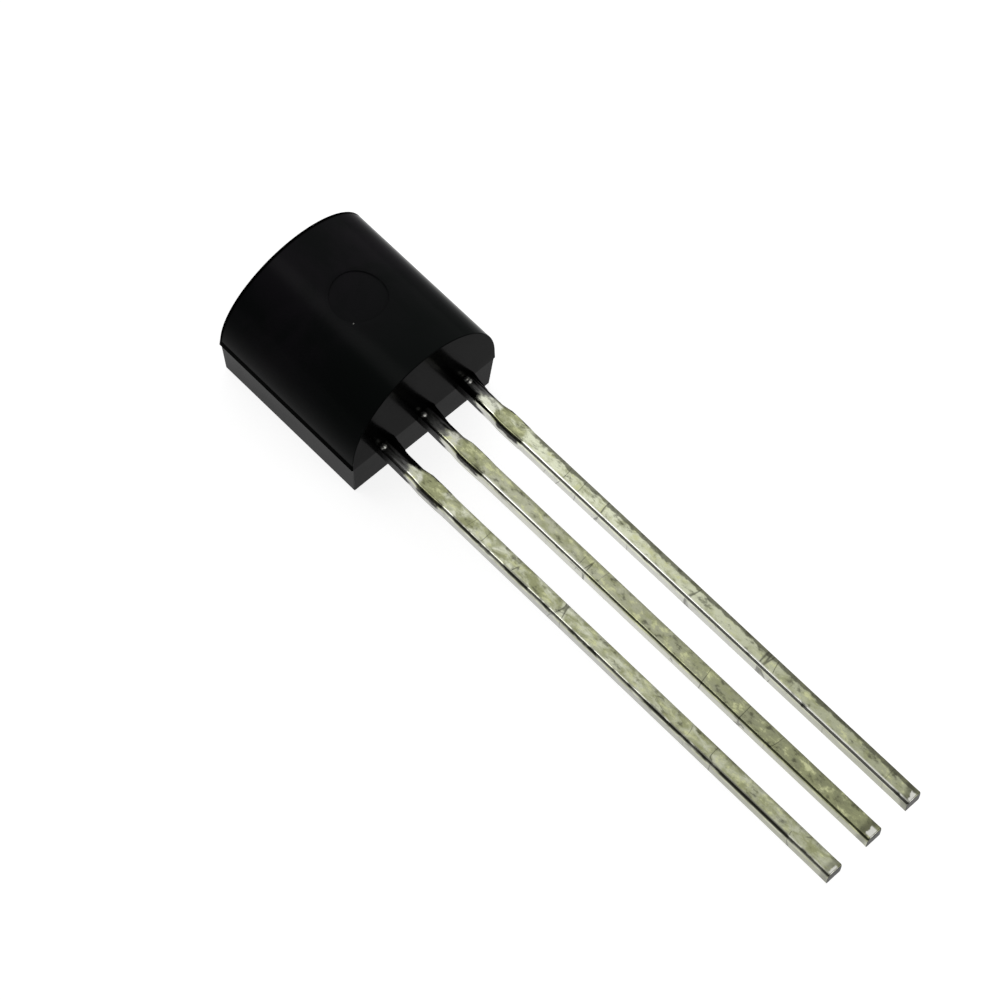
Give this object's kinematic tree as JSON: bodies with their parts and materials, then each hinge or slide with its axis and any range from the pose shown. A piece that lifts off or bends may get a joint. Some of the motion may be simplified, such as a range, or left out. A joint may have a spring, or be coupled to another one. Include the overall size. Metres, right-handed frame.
{
  "type": "to-92 transistor",
  "caption": "Small through-hole transistor: a black epoxy body with a round back and a flat face, and straight tinned leads in a row at one end.",
  "frame": {"origin": "centre of the middle lead where it leaves the body, on the parting plane", "axes": "+X out along the leads, +Y towards pin 1 (emitter), +Z out of the round side, away from the flat face"},
  "size_m": [0.0192, 0.0046, 0.0036],
  "materials": {
    "epoxy": "satin",
    "tinned_lead": "satin",
    "silicon": "polished",
    "solder": "satin",
    "gold_wire": "gloss"
  },
  "bodies": {
    "root": {"moulded_body": "epoxy", "emitter_lead": "tinned_lead", "collector_lead": "tinned_lead", "base_lead": "tinned_lead", "silicon_die": "silicon", "die_attach": "solder", "emitter_bond_wire": "gold_wire", "base_bond_wire": "gold_wire"}
  },
  "joints": []
}
